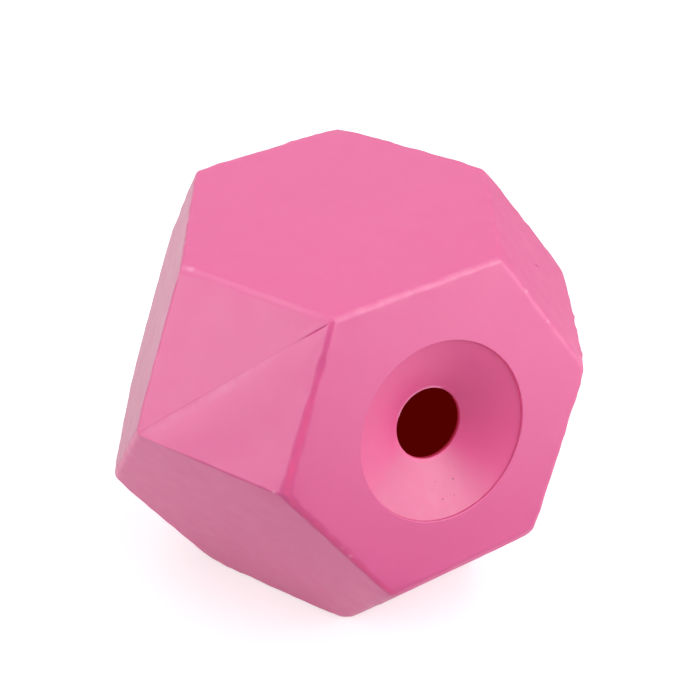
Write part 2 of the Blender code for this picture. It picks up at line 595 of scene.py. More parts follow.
@dataclass(frozen=True)
class FunnelShape:
    """Sizes of the funnel and of the seat that carries it; depths run down from the hexagon."""

    seat_radius: float = 51.5 * MM
    throat_radius: float = 20.5 * MM
    depth: float = 16.5 * MM  # at the edge of the throat
    bow: float = 0.8 * MM  # how far the cone swells above a straight line, halfway down to the throat
    wall: float = 2.5 * MM
    rim_step: float = 1.3 * MM  # how far the rim lies below the hexagon
    rim_gap: float = 0.02 * MM
    ledge_width: float = 5 * MM
    ledge_thickness: float = 3 * MM
    ledge_gap: float = 0.3 * MM
    boss_wall: float = 3 * MM

    @property
    def rim_radius(self) -> float:
        """Outer radius of the rim."""
        return self.seat_radius - self.rim_gap

    @property
    def skirt_radius(self) -> float:
        """Radius at which the cone's underside passes the ledge."""
        return self.seat_radius - self.ledge_width - self.ledge_gap

    @property
    def cone_wall(self) -> float:
        """Wall of the cone, measured along the funnel's axis."""
        slope = (self.depth - self.rim_step) / (self.rim_radius - self.throat_radius)
        return self.wall * math.hypot(1, slope)

    @property
    def rim_underside(self) -> float:
        """Depth of the flat face under the rim."""
        return self.cone_depth(self.skirt_radius) + self.cone_wall

    @property
    def ledge_top(self) -> float:
        """Depth of the ledge that the rim stands on."""
        return self.rim_underside + self.ledge_gap

    def cone_depth(self, radius: float | np.ndarray) -> float | np.ndarray:
        """Depth of the cone at a radius: it falls gently from the rim and steeper at the throat.

        Args:
            radius: Distance from the funnel's axis.

        Returns:
            The depth below the hexagon.
        """
        share = (radius - self.throat_radius) / (self.rim_radius - self.throat_radius)
        straight = self.depth - (self.depth - self.rim_step) * share
        return straight - 4 * self.bow * share * (1 - share)


@dataclass(frozen=True)
class Mark:
    """A nub of flash, or a nick where the height is negative, on the edge between two faces."""

    first: Facet
    second: Facet
    along: float
    height: float
    radius: float = 1.6 * MM


FRONT_MARKS = (
    Mark(Facet.FUNNEL, Facet.LOWER_LEFT, 0.50, 0.7 * MM, 1.2 * MM),
    Mark(Facet.FUNNEL, Facet.LOWER_LEFT, 0.57, 0.8 * MM, 1.2 * MM),
    Mark(Facet.LEFT, Facet.LOWER_LEFT, 0.93, 0.7 * MM, 1.0 * MM),
    Mark(Facet.FUNNEL, Facet.TOP, 0.23, -0.5 * MM, 1.0 * MM),
    Mark(Facet.FUNNEL, Facet.RIGHT, 0.45, 0.3 * MM),
    Mark(Facet.FUNNEL, Facet.RIGHT, 0.72, 0.3 * MM),
    Mark(Facet.RIGHT, Facet.RIGHT, 0.5, -0.8 * MM, 1.5 * MM),
    Mark(Facet.RIGHT, Facet.LOWER_RIGHT, 0.51, 0.6 * MM),
    Mark(Facet.RIGHT, Facet.LOWER_RIGHT, 0.39, 0.7 * MM),
    Mark(Facet.RIGHT, Facet.LOWER_RIGHT, 0.14, 0.6 * MM),
)
BACK_MARKS = (
    Mark(Facet.TOP, Facet.UPPER_END, 0.35, 0.5 * MM),
    Mark(Facet.TOP, Facet.UPPER_END, 0.18, 0.5 * MM),
    Mark(Facet.TOP, Facet.LEFT, 0.08, 0.2 * MM, 1.8 * MM),
    Mark(Facet.LEFT, Facet.UPPER_LEFT, 0.06, 0.5 * MM, 1.2 * MM),
    Mark(Facet.LEFT, Facet.UPPER_LEFT, 0.55, 0.6 * MM, 1.2 * MM),
    Mark(Facet.TOP, Facet.UPPER_LEFT, 0.75, -0.6 * MM, 1.2 * MM),
    Mark(Facet.RIGHT, Facet.RIGHT, 0.5, 0.7 * MM, 2.0 * MM),
)


@dataclass
class Piece:
    """A piece of the ball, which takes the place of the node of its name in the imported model."""

    ball: BallShape
    name: str
    slot: str
    obj: Object | None = field(default=None, init=False)

    def stand_up(self, mesh: Mesh, place: Matrix) -> None:
        """Turns the finished mesh into the frame, shades it and puts it in the scene.

        Args:
            mesh: The mesh in its own axes.
            place: From those axes to the frame.
        """
        mesh.transform(place)
        mesh.shade_smooth()
        mesh.set_sharp_from_angle(angle=SHARP_LIMIT)
        self.obj = add_object(self.name, mesh)

    def dress(self, material: Material) -> None:
        """Gives the piece its finish and ties it to the frame.

        Args:
            material: The finish.
        """
        self.obj.data.materials.append(material)
        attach(self.obj, BODY)
        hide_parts(self.name)


@dataclass
class HalfShell(Piece):
    """One moulded half shell, with its chamber, its seam flange and the slight unevenness of a moulding."""

    half: Half
    funnel: FunnelShape | None = None  # the funnel that sits in this shell
    marks: tuple[Mark, ...] = ()
    seam_gap: float = 0.03 * MM
    seam_hold: float = 2 * MM  # within this distance the seam keeps its level
    flange_reach: float = 4 * MM  # how far the flange stands in from the wall
    flange_floor: float = 2.5 * MM  # flange left under the groove
    tongue_width: float = 2.4 * MM
    tongue_height: float = 2.4 * MM
    tongue_gap: float = 0.3 * MM
    seat_segments: int = 192
    seat_round: float = 0.7 * MM
    seat_round_rows: int = 4
    seat_clear: float = 0.01 * MM  # the rounding starts this far above the hexagon, for a clean cut
    seat_tolerance: float = 0.08 * MM  # points this near an edge of the seat lie on it
    seat_lit: tuple[float, float] = (-0.8, 0.2)  # heights in the seat between which its upper edge gets the painted glow
    rings: tuple[float, ...] = (0.8 * MM, 2 * MM, 4 * MM, 7 * MM, 12 * MM, 18 * MM)
    least_panel: float = 0.002  # area in square metres of the smallest face that counts as a panel
    panel_facing: float = 0.95  # cosine within which a point looks the way of its face
    skin: float = 2 * MM  # points no deeper than this belong to the outside
    corner_wear: float = 1.0 * MM  # how far a corner is rubbed down where its edges have full wear
    corner_reach: float = 8 * MM
    wave_height: float = 0.3 * MM
    wave_length: float = 14 * MM
    ripple_height: float = 0.2 * MM
    ripple_length: float = 5 * MM
    wave_reach: float = 12 * MM  # the unevenness of an edge dies out this far from it
    band_reach: tuple[float, float] = (0.8 * MM, 3.8 * MM)  # the tint of an edge dies out between these
    red_light_start: float = 45 * MM  # from the seam, where edges with painted red light have it in full
    square_facing: tuple[float, float] = (0.75, 1.0)  # cosines between which the left square begins
    lip_height: float = 0.0  # how far the left square stands proud at the seam, at its far end
    lip_width: float = 10 * MM
    lip_fade: tuple[float, float] = (10 * MM, 40 * MM)
    lip_growth: tuple[float, float] = (0.05, 0.75)  # shares of the seam over which the lip rises
    seam_highlight_growth: tuple[float, float] = (0.1, 0.5)  # shares of the seam over which the painted highlight begins
    crease_depth: float = 0.0  # at the near end of the seam across the left square; below 0 it stands proud
    crease_width: float = 0.8 * MM
    crease_start: tuple[float, float] = (3 * MM, 7 * MM)  # from the corner, where the crease begins
    crease_end: tuple[float, float] = (13 * MM, 25 * MM)

    @property
    def groove_depth(self) -> float:
        """Depth of the groove that takes the tongue."""
        return self.tongue_height + self.tongue_gap

    @property
    def flange_thickness(self) -> float:
        """Thickness of the seam flange, along the draw."""
        return self.groove_depth + self.flange_floor

    @property
    def rim_width(self) -> float:
        """Width of the flange's flat rim."""
        lean = self.flange_thickness * self.ball.hex_lean
        return self.ball.wall * self.ball.seam_to_hex + lean + self.flange_reach

    def on_this_side(self, planes: list[Plane]) -> list[Plane]:
        """Planes written for the front shell, turned over where this is the back shell.

        Args:
            planes: Planes of a solid below the seam.

        Returns:
            The planes for this shell.
        """
        if self.half is Half.FRONT:
            return planes
        return [Plane(-plane.normal, plane.distance) for plane in planes]

    def rounded(self, bm: BMesh, setback: float, segments: int) -> None:
        """Rounds every edge but the slight fold that the draft makes in the side squares.

        Args:
            bm: The solid.
            setback: How far the rounding runs back over each face.
            segments: Number of facets across the rounding.
        """
        bmesh.ops.bevel(
            bm,
            geom=[edge for edge in bm.edges if edge.calc_face_angle() > FOLD_LIMIT],
            offset=setback,
            offset_type="OFFSET",
            segments=segments,
            profile=0.5,
            affect="EDGES",
            loop_slide=True,
        )

    def worn_edges(self, bm: BMesh) -> BMesh:
        """Rounds the outer edges, each by its own wear, and frees bm.

        Args:
            bm: The sharp solid, with its edges split into short facets.

        Returns:
            The rounded solid.
        """
        wear = bm.edges.layers.float.new("bevel_weight_edge")
        for edge in bm.edges:
            if edge.calc_face_angle() > FOLD_LIMIT:
                edge[wear] = self.ball.wear(edge)
        blank = Blank("worn_edges", bm)
        bevel = blank.body.modifiers.new("worn edges", "BEVEL")
        bevel.limit_method = "WEIGHT"
        bevel.width = self.ball.edge_setback
        bevel.segments = self.ball.edge_segments
        bevel.use_clamp_overlap = False
        return blank.solid()

    def outside(self) -> BMesh:
        """The outer form of this half of the ball, with fine facets along its edges, closed at the seam.

        Returns:
            The closed solid.
        """
        bm = self.ball.block(self.ball.planes())
        for edge in bm.edges[:]:
            self.split_edge(bm, edge)
        bm = self.worn_edges(bm)
        for panel in [face for face in bm.faces if face.calc_area() > self.least_panel]:
            self.ring_panel(bm, panel)
        outward = Vector((0, 0, -self.half.value))
        bisect_and_close(bm, Plane(outward, -self.seam_gap / 2))
        return bm

    def split_edge(self, bm: BMesh, edge: BMEdge) -> None:
        """Splits an edge into short facets, clear of the rounding of its two corners.

        Args:
            bm: The solid.
            edge: The edge that is split.
        """
        start, end = (vert.co.copy() for vert in edge.verts)
        length = (end - start).length
        inner = length - 2 * self.ball.corner_margin
        facets = round(inner / self.ball.facet_length)
        split = bmesh.ops.bisect_edges(bm, edges=[edge], cuts=facets + 1)["geom_split"]
        verts = [item for item in split if isinstance(item, bmesh.types.BMVert)]
        verts.sort(key=lambda vert: (vert.co - start).length)
        for step, vert in enumerate(verts):
            along = self.ball.corner_margin + inner * step / facets
            vert.co = start.lerp(end, along / length)

    def ring_panel(self, bm: BMesh, panel: BMFace) -> None:
        """Lays rings of narrow faces inside the border of a panel, so that its edges can be uneven.

        Args:
            bm: The solid.
            panel: The panel, which keeps its middle.
        """
        centre, radius = inner_circle(panel)
        left = radius
        for ring in self.rings:
            bmesh.ops.inset_individual(bm, faces=[panel], thickness=MERGE_DISTANCE)
            for vert in panel.verts:
                vert.co = centre.lerp(vert.co, (radius - ring) / left)
            left = radius - ring

    def flange_ring(self, clearance: float, low: float, high: float) -> BMesh:
        """A ring that follows the seam at the place of the tongue, wider by clearance on both sides.

        Args:
            clearance: Room beside the tongue.
            low: Level of the ring's lower end.
            high: Level of its upper end.

        Returns:
            The closed ring.
        """
        overlap = self.ball.overlap
        middle = (self.groove_depth * self.ball.hex_lean + self.rim_width) / 2
        half_width = self.tongue_width / 2 + clearance
        ring = Blank("ring", self.ball.block(self.ball.seam_outline(middle - half_width, low, high)))
        core = self.ball.seam_outline(middle + half_width, low - overlap, high + overlap)
        ring.cut("core", self.ball.block(core))
        return ring.solid()

    def disc(self, radius: float, top: float, bottom: float, flare: float = 0.0) -> BMesh:
        """A disc on the funnel's axis, with depths measured from the hexagon.

        Args:
            radius: Radius of the disc.
            top: Depth of its upper face.
            bottom: Depth of its lower face.
            flare: Radius of the rounding that it leaves on the edge of the hexagon, or 0.

        Returns:
            The closed disc.
        """
        side = [(radius, top)]
        if flare:
            centre = (radius + flare, flare - self.seat_clear)
            side = [(radius + flare, top), *arc(centre, flare, 270, 180, self.seat_round_rows)]
        profile = [(0, top), *side, (radius, bottom), (0, bottom)]
        return turned(profile, self.seat_segments, self.ball.funnel_place)

    def hollow_out(self, blank: Blank) -> None:
        """Cuts the chamber and the way through the seam flange.

        Args:
            blank: The shell under work.
        """
        overlap = self.ball.overlap
        chamber = self.ball.planes(self.ball.wall) + [Plane(Vector((0, 0, 1)), -self.flange_thickness)]
        opening = self.ball.seam_outline(self.rim_width, -self.flange_thickness - overlap, overlap)
        chamber_block = self.ball.block(self.on_this_side(chamber))
        self.rounded(chamber_block, self.ball.chamber_setback, self.ball.chamber_segments)
        blank.cut("chamber", chamber_block)
        blank.cut("seam opening", self.ball.block(self.on_this_side(opening)))

    def seat_funnel(self, blank: Blank) -> None:
        """Adds the boss in the front hexagon and cuts the seat and ledge of the funnel.

        Args:
            blank: The shell under work.
        """
        overlap = self.ball.overlap
        seat = self.funnel.seat_radius
        top = self.funnel.ledge_top
        bottom = top + self.funnel.ledge_thickness
        blank.join("boss", self.disc(seat + self.funnel.boss_wall, self.ball.wall / 2, bottom))
        blank.cut("seat", self.disc(seat, -overlap, top, self.seat_round))
        blank.cut("ledge bore", self.disc(seat - self.funnel.ledge_width, top - overlap, bottom + overlap))

    def build(self) -> None:
        """Makes the shell and stands it up in the frame."""
        blank = Blank(self.name, self.outside())
        self.hollow_out(blank)
        if self.half is Half.BACK:
            blank.cut("groove", self.flange_ring(self.tongue_gap, -self.ball.overlap, self.groove_depth))
        else:
            blank.join("tongue", self.flange_ring(0, -self.ball.overlap, self.tongue_height))
        if self.funnel:
            self.seat_funnel(blank)
        mesh = blank.finished(self.name)
        self.uneven(mesh)
        if self.funnel:
            self.light_seat(mesh)
        self.stand_up(mesh, self.ball.stand)
        if self.funnel:
            self.sharpen_seat(mesh)

    def sharpen_seat(self, mesh: Mesh) -> None:
        """Parts the shading of the flat hexagon from that of the rounding round the funnel's seat.

        Args:
            mesh: The shell's mesh, in the frame.
        """
        own_axes = (self.ball.stand @ self.ball.funnel_place).inverted()
        edge = self.funnel.seat_radius + self.seat_round
        border = set()
        for vert in mesh.vertices:
            place = own_axes @ vert.co
            if max(abs(place.z), abs(place.xy.length - edge)) < self.seat_tolerance:
                border.add(vert.index)
        for line in mesh.edges:
            if border.issuperset(line.vertices):
                line.use_edge_sharp = True

    def light_seat(self, mesh: Mesh) -> None:
        """Marks the upper edge of the wall of the funnel's seat for a painted glow, with the mesh in mould
        axes.

        Args:
            mesh: The shell's mesh.
        """
        own_axes = np.array(self.ball.funnel_place.inverted())
        points = points_of(mesh) @ own_axes[:3, :3].T + own_axes[:3, 3]
        off_wall = np.abs(np.hypot(points[:, 0], points[:, 1]) - self.funnel.seat_radius)
        off_edge = np.abs(points[:, 2] + self.seat_round)
        lit = smooth_step(*self.seat_lit, points[:, 1] / self.funnel.seat_radius)
        set_attribute(mesh, GLOW, lit * (np.maximum(off_wall, off_edge) < self.seat_tolerance))

    def uneven(self, mesh: Mesh) -> None:
        """Moves the outer points as moulding does, and marks edges and inner walls for the finish.

        Args:
            mesh: The shell's mesh, in mould axes.
        """
        points = points_of(mesh)
        normals = np.array([normal.vector for normal in mesh.vertex_normals])
        outer = self.ball.depth(points) < self.skin
        distance, rub_and_light = self.ball.nearest_edge(points)
        flash, nub = self.flash(points, normals, outer)
        lift, painted_seam_highlight = self.left_square(points, normals)
        lift = np.outer(lift, np.array(Facet.LEFT.normal))
        shift = self.waves(points, distance) + self.worn_corners(points) + flash + lift
        shift *= outer[:, None]
        shift[:, 2] *= smooth_step(0, self.seam_hold, np.abs(points[:, 2]))
        points += shift
        mesh.vertices.foreach_set("co", points.astype(np.float32).ravel())
        # painted red light on the edges whose share is below 0, growing away from the seam
        red_light = rub_and_light * smooth_step(0, self.red_light_start, np.abs(points[:, 2]))
        band = np.where(rub_and_light < 0, red_light, rub_and_light) * (1 - smooth_step(*self.band_reach, distance))
        zone = np.zeros(len(points))
        for facet, share in SCUFF_AND_SHEEN_SHARES.items():
            zone += share * (normals @ np.array(facet.normal) > self.panel_facing)
        for name, values in ((BAND, band), (NUB_GLINT, nub), (SEAM_HIGHLIGHT, painted_seam_highlight), (SCUFF_AND_SHEEN_ZONE, zone)):
            set_attribute(mesh, name, values * outer)
        set_attribute(mesh, INSIDE, ~outer)

    def waves(self, points: np.ndarray, distance: np.ndarray) -> np.ndarray:
        """Slow waves and small ripples along the edges, which die out on the panels.

        Args:
            points: Points of the mesh.
            distance: Their distances from the nearest edge.

        Returns:
            The shift of each point.
        """
        near = distance < self.wave_reach
        fade = 1 - smooth_step(0, self.wave_reach, distance[near])
        wave = wander(points[near], self.wave_length) * self.wave_height
        wave += wander(points[near], self.ripple_length) * self.ripple_height
        shift = np.zeros_like(points)
        shift[near] = wave * fade[:, None]
        return shift

    def worn_corners(self, points: np.ndarray) -> np.ndarray:
        """Corners rubbed down towards the middle of the ball, each by the wear of its edges.

        Args:
            points: Points of the mesh.

        Returns:
            The shift of each point.
        """
        shift = np.zeros_like(points)
        for corner, wear in self.ball.corners():
            inward = -corner / np.linalg.norm(corner)
            near = np.exp(-(((points - corner) ** 2).sum(axis=1)) / self.corner_reach**2)
            shift += np.outer(near * wear * self.corner_wear, inward)
        return shift

    def flash(
        self, points: np.ndarray, normals: np.ndarray, outer: np.ndarray
    ) -> tuple[np.ndarray, np.ndarray]:
        """The marks that flash left on the edges.

        Args:
            points: Points of the mesh.
            normals: Their normals.
            outer: Whether they lie on the outside.

        Returns:
            The shift of each point, and how far it lies on a nub that was left standing, which gets a
            painted glint.
        """
        shift = np.zeros_like(points)
        nub = np.zeros(len(points))
        for mark in self.marks:
            place = self.ball.edge_point(mark.first, mark.second, mark.along)
            place = points[((points - place) ** 2).sum(axis=1).argmin()]
            bump = outer * np.exp(-(((points - place) ** 2).sum(axis=1)) / mark.radius**2)
            shift += normals * (bump * mark.height)[:, None]
            nub = np.maximum(nub, bump * (mark.height > 0))
        return shift, nub

    def left_square(self, points: np.ndarray, normals: np.ndarray) -> tuple[np.ndarray, np.ndarray]:
        """The seam across the left square: a lip that grows to its far end, with a painted highlight beside
        it, and a crease.

        Args:
            points: Points of the mesh.
            normals: Their normals.

        Returns:
            How far each point rises out of the square, and how much painted highlight it gets.
        """
        facing = smooth_step(*self.square_facing, normals @ np.array(Facet.LEFT.normal))
        to_hexagons = self.ball.hex_span / 2 * self.ball.seam_to_hex * math.sqrt(2)
        half_run = to_hexagons - self.ball.square_span / 2  # half the seam's run across the square
        from_corner = half_run - points[:, 1]
        from_seam = np.abs(points[:, 2])
        share = from_corner / (2 * half_run)
        growth = smooth_step(*self.lip_growth, share) * facing
        slope = 1 - np.clip(from_seam / self.lip_width, 0, 1)
        rise = (1 - slope**2) * (1 - smooth_step(*self.lip_fade, from_seam))
        run = smooth_step(*self.crease_start, from_corner)
        run *= 1 - smooth_step(*self.crease_end, from_corner)
        crease = -self.crease_depth * run * facing * np.exp(-((from_seam / self.crease_width) ** 2))
        strip = (1 - smooth_step(0, self.lip_width, from_seam)) * (self.lip_height > 0)
        seam_highlit = strip * facing * smooth_step(*self.seam_highlight_growth, share)
        return self.lip_height * growth * rise + crease, seam_highlit


@dataclass
class TreatFunnel(Piece):
    """The turned funnel in the front hexagon, with a cut edge at its throat.

    A sector is the middle and the spread of an angle, in degrees from the funnel's +X.
    """

    shape: FunnelShape
    segments: int = 256
    rim_round: float = 0.1 * MM
    rim_rows: int = 4
    throat_round: float = 0.3 * MM
    edge_width: float = 0.1 * MM  # points this near the throat's radius lie in the throat
    cone_rows: int = 24
    throat_rows: int = 5
    burr_height: float = 0.6 * MM
    burr_width: float = 1.0 * MM
    burr_rows: int = 4
    burr_length: float = 6 * MM  # along the edge, of one piece of burr
    burr_mean: float = 0.6
    burr_swing: float = 0.8
    burr_least: float = 0.2  # left of the burr outside its sector
    # where the burr stands highest, and where its edge gets a painted highlight
    burr_sector: tuple[float, float] = (105.0, 60.0)
    throat_shade: float = 0.2  # how far the top of the throat takes the chamber's painted shade
    throat_glow: float = 0.6  # strength of the painted glow, for light soaking through the top of the throat
    speck_sector: tuple[float, float] = (-84.0, 34.0)
    speck_reach: tuple[float, float] = (0.6, 0.9)  # of half the cone's width, where specks die out
    speck_share: float = 0.5
    # a painted sheen on the lit side of the cone, laid with the scuffs and the dust_and_sheen tint
    painted_sheen_sector: tuple[float, float] = (-110.0, 75.0)
    painted_sheen_share: float = 0.45

    def profile(self) -> Outline:
        """The outline from the rim down its outer side and back up the cone.

        Returns:
            The points of the outline.
        """
        shape = self.shape
        rim, throat = shape.rim_radius, shape.throat_radius
        bottom = shape.depth + shape.cone_wall
        edge = throat + self.burr_width
        under = np.linspace(shape.skirt_radius, throat + shape.wall, self.cone_rows // 2)
        bore = np.linspace(bottom - self.throat_round, shape.depth + self.throat_round, self.throat_rows)
        burr = np.linspace(throat + self.burr_width / self.burr_rows, edge, self.burr_rows)
        cone = np.linspace(edge, rim - self.rim_round, self.cone_rows)[1:-1]
        rim_centre = (rim - self.rim_round, shape.rim_step + self.rim_round)
        return [
            *arc(rim_centre, self.rim_round, 270, 360, self.rim_rows),
            (rim, shape.rim_underside),
            *((radius, shape.cone_depth(radius) + shape.cone_wall) for radius in under),
            (throat + self.throat_round, bottom),
            *((throat, depth) for depth in bore),
            *((radius, shape.cone_depth(radius)) for radius in (*burr, *cone)),
        ]

    def build(self) -> None:
        """Turns the funnel, roughens the edge of its throat and stands it up in the frame."""
        bm = turned(self.profile(), self.segments, Matrix.Identity(4))
        edge = self.shape.throat_radius + self.burr_width / 2
        for vert in bm.verts:
            radius = math.hypot(vert.co.x, vert.co.y)
            on_edge = math.exp(-(((radius - edge) / (self.burr_width / 2)) ** 2))
            if vert.co.z > -self.shape.depth - self.throat_round:
                lump = self.burr_mean + self.burr_swing * noise.noise(vert.co / self.burr_length)
                share = sector(np.array([vert.co]), *self.burr_sector)[0]
                share = self.burr_least + (1 - self.burr_least) * share
                vert.co.z += self.burr_height * on_edge * max(lump, 0) * share
        mesh = mesh_of(self.name, bm)
        self.mark_zones(mesh)
        self.stand_up(mesh, self.ball.stand @ self.ball.funnel_place)

    def mark_zones(self, mesh: Mesh) -> None:
        """Marks the burr's painted highlight, the throat's painted shade and glow, a painted sheen on the
        lit side of the cone, and specks, with the mesh in the funnel's own axes.

        Args:
            mesh: The funnel's mesh.
        """
        points = points_of(mesh)
        radius = np.hypot(points[:, 0], points[:, 1])
        below = -points[:, 2] - self.shape.depth
        from_edge = radius - self.shape.throat_radius
        in_throat = from_edge < self.edge_width
        on_burr = (from_edge < self.burr_width) & (from_edge > self.edge_width) & (below < 0)
        set_attribute(mesh, NUB_GLINT, on_burr * sector(points, *self.burr_sector))
        down = np.clip(below / self.shape.cone_wall, 0, 1)
        under = self.shape.cone_depth(radius) + self.shape.cone_wall / 2 < -points[:, 2]
        shade = self.throat_shade + (1 - self.throat_shade) * down
        set_attribute(mesh, INSIDE, np.where(in_throat, shade, under))
        set_attribute(mesh, GLOW, in_throat * self.throat_glow * (1 - down))
        reach = (self.shape.rim_radius - self.shape.throat_radius) / 2
        off_middle = np.abs(from_edge - reach) / reach
        specks = sector(points, *self.speck_sector) * (1 - smooth_step(*self.speck_reach, off_middle))
        set_attribute(mesh, SPECK_ZONE, specks * self.speck_share)
        painted_sheen = sector(points, *self.painted_sheen_sector) * (from_edge > self.burr_width)
        set_attribute(mesh, SCUFF_AND_SHEEN_ZONE, painted_sheen * self.painted_sheen_share)


class Wiring:
    """Adds nodes to a node tree and links them."""

    def __init__(self, tree: NodeTree) -> None:
        """Works on the given tree."""
        self.tree = tree

    def add(self, kind: str, inputs: dict[str | int, object] | None = None, **settings: object) -> Node:
        """Adds a node.

        Args:
            kind: Kind of node, without the prefix that all shader nodes share.
            inputs: Its inputs by name or place; a socket is linked and any other value is set.
            settings: Its other properties.

        Returns:
            The node.
        """
        node = self.tree.nodes.new("ShaderNode" + kind)
        for name, value in settings.items():
            setattr(node, name, value)
        self.feed(node, inputs or {})
        return node

    def feed(self, node: Node, inputs: dict[str | int, object]) -> None:
        """Links or sets inputs of a node.

        Args:
            node: The node.
            inputs: Its inputs by name or place; a socket is linked and any other value is set.
        """
        for key, value in inputs.items():
            if isinstance(value, Socket):
                self.tree.links.new(value, node.inputs[key])
            else:
                node.inputs[key].default_value = value

    def math(self, operation: str, first: object, second: object = 0.0) -> Socket:
        """The result of a sum on two values or sockets."""
        return self.add("Math", {0: first, 1: second}, operation=operation).outputs["Value"]

    def weighed(self, first: Socket, of_first: float, second: Socket, of_second: float) -> Socket:
        """The sum of two sockets, each times its share."""
        scaled = self.math("MULTIPLY", first, of_first)
        return self.math("ADD", scaled, self.math("MULTIPLY", second, of_second))

    def mix(self, share: object, first: object, second: object) -> Socket:
        """A mix of two colours."""
        return self.add("Mix", {"Factor": share, 6: first, 7: second}, data_type="RGBA").outputs[2]

    def noise(self, vector: Socket, size: object, detail: float) -> Socket:
        """Smooth noise from 0 to 1 whose lumps have the given size in metres."""
        scale = self.math("DIVIDE", 1.0, size)
        return self.add("TexNoise", {"Vector": vector, "Scale": scale, "Detail": detail}).outputs["Fac"]

    def ramp(self, value: Socket, low: float, high: float, start: object = 0, end: object = 1) -> Socket:
        """Maps low to high onto start to end, smoothly and within those limits."""
        inputs = {"Value": value, "From Min": low, "From Max": high, "To Min": start, "To Max": end}
        return self.add("MapRange", inputs, interpolation_type="SMOOTHSTEP").outputs["Result"]

    def effect(self, effect: Effect, **inputs: object) -> dict[str, Socket]:
        """Places an effect in the tree, with its inputs by name, and gives its outputs.

        Args:
            effect: The effect.
            inputs: Values or sockets for its inputs.

        Returns:
            The outputs by name.
        """
        node = self.add("Group", node_tree=effect.group())
        self.feed(node, inputs)
        return {socket.name: socket for socket in node.outputs}


SOCKET_KINDS = {"Vector": "Vector", "Color": "Color", "Tint": "Color"}
NOISE_MEAN = 0.5
NOISE_SPREAD = (0.3, 0.7)  # most of a noise lies between these values
FLECK_SHARE = 0.5  # of small flecks in uneven pigment, beside a whole share of clouds
GRAIN_HEIGHT = 0.25  # shares of the relief
RIPPLE_HEIGHT = 0.5
GRAIN_GLOSS = 0.4  # share of the grain in patches of gloss, beside that of ripples
BREAK_SIZE = 9 * MM  # stretches of an edge tint
BREAK_SPREAD = (0.35, 0.65)
TINT_START = 0.1  # a zone below this shows no tint
SMEAR_SIZE = 6 * MM
SMEAR_STRETCH = (1.0, 1.0, 0.22)
SMEAR_TURN = (0.5, 0.3, 0.0)
SMEAR_SPREAD = (0.45, 0.7)
PATCH_SIZE = 30 * MM  # patches that smears gather in
PATCH_SPREAD = (0.42, 0.62)
SPECK_START = 0.3  # share of the cells that are too small for a speck
SPECK_RADIUS = 0.18  # of the largest speck, as a share of their spacing


class Effect(Enum):
    """Surface effects that the finishes share; the value is the name of the effect's node group."""

    PIGMENT_MOTTLE = "pigment_mottle"
    MOULDED_GRAIN = "moulded_grain"
    RUBBED_EDGES = "rubbed_edges"
    SCUFFS = "scuffs"
    SPECKS = "specks"

    def group(self) -> NodeTree:
        """The effect's node group, built the first time it is asked for."""
        built = bpy.data.node_groups.get(self.value)
        return built or EFFECT_BUILDERS[self](self.value)


def new_group(name: str, inputs: str, outputs: str) -> tuple[Wiring, dict[str, Socket], Node]:
    """Starts a node group.

    Args:
        name: Name of the group.
        inputs: Names of its inputs, which are numbers unless SOCKET_KINDS says otherwise.
        outputs: Names of its outputs.

    Returns:
        The wiring of the group, its input sockets by name and its output node.
    """
    tree = bpy.data.node_groups.new(name, "ShaderNodeTree")
    for direction, sockets in (("INPUT", inputs), ("OUTPUT", outputs)):
        for socket in sockets.split():
            kind = SOCKET_KINDS.get(socket, "Float")
            tree.interface.new_socket(socket, in_out=direction, socket_type="NodeSocket" + kind)
    entry = tree.nodes.new("NodeGroupInput")
    given = {socket: entry.outputs[socket] for socket in inputs.split()}
    return Wiring(tree), given, tree.nodes.new("NodeGroupOutput")


def build_pigment_mottle(name: str) -> NodeTree:
    """Uneven pigment: broad clouds and small flecks of lighter and darker colour.

    Args:
        name: Name of the group.

    Returns:
        The node group.
    """
    wiring, given, exit_node = new_group(name, "Vector Color Clouds Flecks Strength", "Color")
    clouds = wiring.noise(given["Vector"], given["Clouds"], detail=3.0)
    flecks = wiring.noise(given["Vector"], given["Flecks"], detail=2.0)
    both = wiring.math("ADD", clouds, wiring.math("MULTIPLY", flecks, FLECK_SHARE))
    swing = wiring.math("SUBTRACT", both, NOISE_MEAN * (1 + FLECK_SHARE))
    value = wiring.math("ADD", wiring.math("MULTIPLY", swing, given["Strength"]), 1.0)
    tinted = wiring.add("HueSaturation", {"Color": given["Color"], "Value": value})
    wiring.feed(exit_node, {"Color": tinted.outputs["Color"]})
    return wiring.tree


def build_moulded_grain(name: str) -> NodeTree:
    """The skin of a moulding: fine grain over slow ripples, and patches of more or less gloss.

    Args:
        name: Name of the group.

    Returns:
        The node group.
    """
    wiring, given, exit_node = new_group(name, "Vector Grain Ripples Low High", "Height Roughness")
    grain = wiring.noise(given["Vector"], given["Grain"], detail=4.0)
    ripples = wiring.noise(given["Vector"], given["Ripples"], detail=2.0)
    height = wiring.weighed(grain, GRAIN_HEIGHT, ripples, RIPPLE_HEIGHT)
    patches = wiring.weighed(grain, GRAIN_GLOSS, ripples, 1 - GRAIN_GLOSS)
    roughness = wiring.ramp(patches, *NOISE_SPREAD, given["Low"], given["High"])
    wiring.feed(exit_node, {"Height": height, "Roughness": roughness})
    return wiring.tree


def build_worn_and_painted_tints(name: str) -> NodeTree:
    """A tint laid in broken stretches over a zone: pale wear, dustiness, and painted light such as
    highlights, glints and sheen.

    Args:
        name: Name of the group.

    Returns:
        The node group.
    """
    wiring, given, exit_node = new_group(name, "Vector Band Color Tint Amount Least", "Color Mask")
    stretches = wiring.noise(given["Vector"], BREAK_SIZE, detail=3.0)
    breaks = wiring.ramp(stretches, *BREAK_SPREAD, given["Least"])
    worn = wiring.ramp(given["Band"], TINT_START, 1.0)
    mask = wiring.math("MULTIPLY", wiring.math("MULTIPLY", worn, breaks), given["Amount"])
    colour = wiring.mix(mask, given["Color"], given["Tint"])
    wiring.feed(exit_node, {"Color": colour, "Mask": mask})
    return wiring.tree


